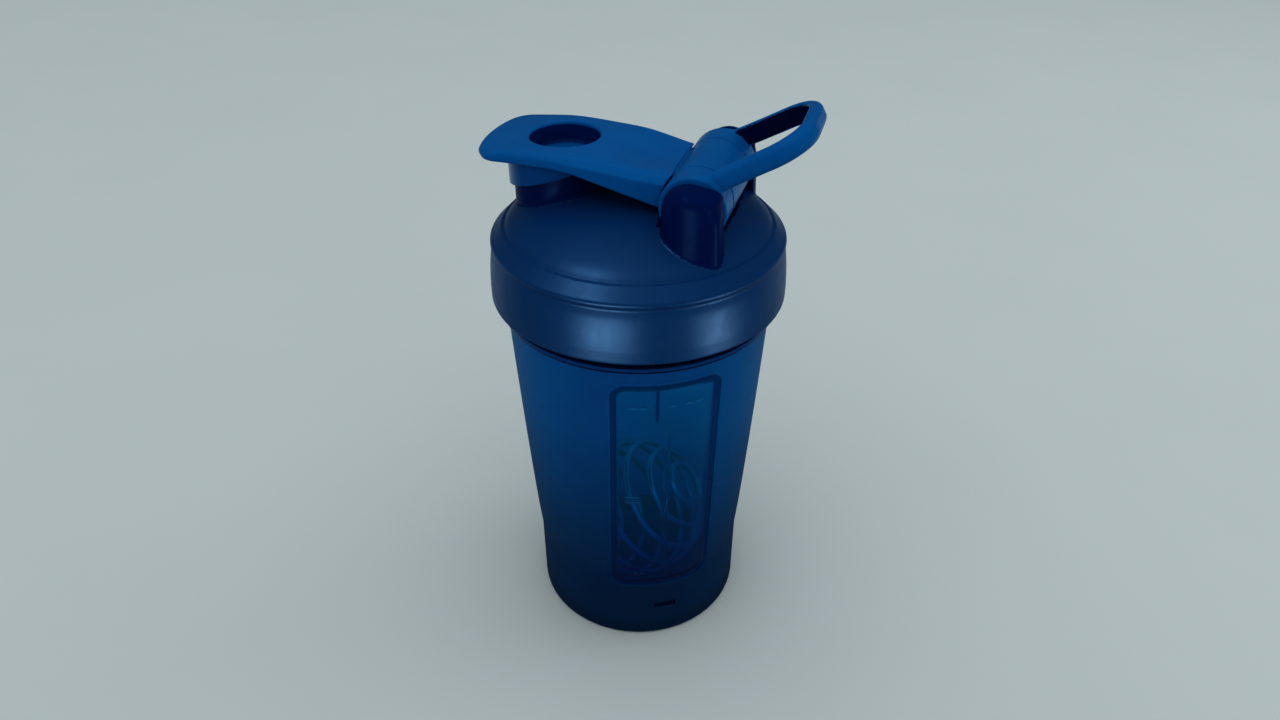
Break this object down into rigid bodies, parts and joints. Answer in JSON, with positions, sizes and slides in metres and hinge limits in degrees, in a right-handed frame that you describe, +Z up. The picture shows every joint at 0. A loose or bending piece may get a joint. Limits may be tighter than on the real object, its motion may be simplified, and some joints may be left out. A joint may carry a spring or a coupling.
{
  "type": "shaker bottle",
  "caption": "Flared drinking bottle with a screw lid, a hinged flip cap over the spout, a carry loop and a loose wire whisk ball.",
  "frame": {"origin": "centre of the base's underside, which the bottle stands on", "axes": "+Z up along the cup's axis, -X towards the spout, +X towards the cap's hinge and the carry loop, Y along the hinge axis"},
  "size_m": [0.0973, 0.0894, 0.182],
  "materials": {
    "frosted_cup": "frosted translucent blue, polished in the window",
    "navy_lid": "fine satin texture",
    "bright_blue": "satin",
    "seal_rubber": "smooth",
    "steel": "drawn wire"
  },
  "bodies": {
    "cup": {"cup_body": "frosted_cup"},
    "seal": {"lid_seal": "seal_rubber"},
    "lid": {"lid_shell": "navy_lid", "hinge_pin": "steel"},
    "cap": {"flip_cap": "bright_blue"},
    "loop": {"carry_loop": "bright_blue"},
    "ball": {"whisk_ball": "steel"}
  },
  "joints": [
    {"name": "lid_lift", "type": "slide", "parent": "cup", "child": "seal", "axis": [0, 0, 1], "range_m": [0, 0.0241]},
    {"name": "lid_turn", "type": "hinge", "parent": "seal", "child": "lid", "pos_m": [0, 0, 0.13], "axis": [0, 0, 1], "range_deg": [0, 1080]},
    {"name": "cap_hinge", "type": "hinge", "parent": "lid", "child": "cap", "pos_m": [0.0208, 0, 0.158], "axis": [0, 1, 0], "range_deg": [0, 90]},
    {"name": "loop_hinge", "type": "hinge", "parent": "lid", "child": "loop", "pos_m": [0.0208, 0, 0.158], "axis": [0, 1, 0], "range_deg": [-3, 65]},
    {"name": "ball_slide", "type": "slide", "parent": "cup", "child": "ball", "axis": [0, 0, 1], "range_m": [0, 0.07]}
  ],
  "couplings": [
    {"joint": "lid_lift", "follows": "lid_turn", "m_per_rad": 0.0012732}
  ]
}
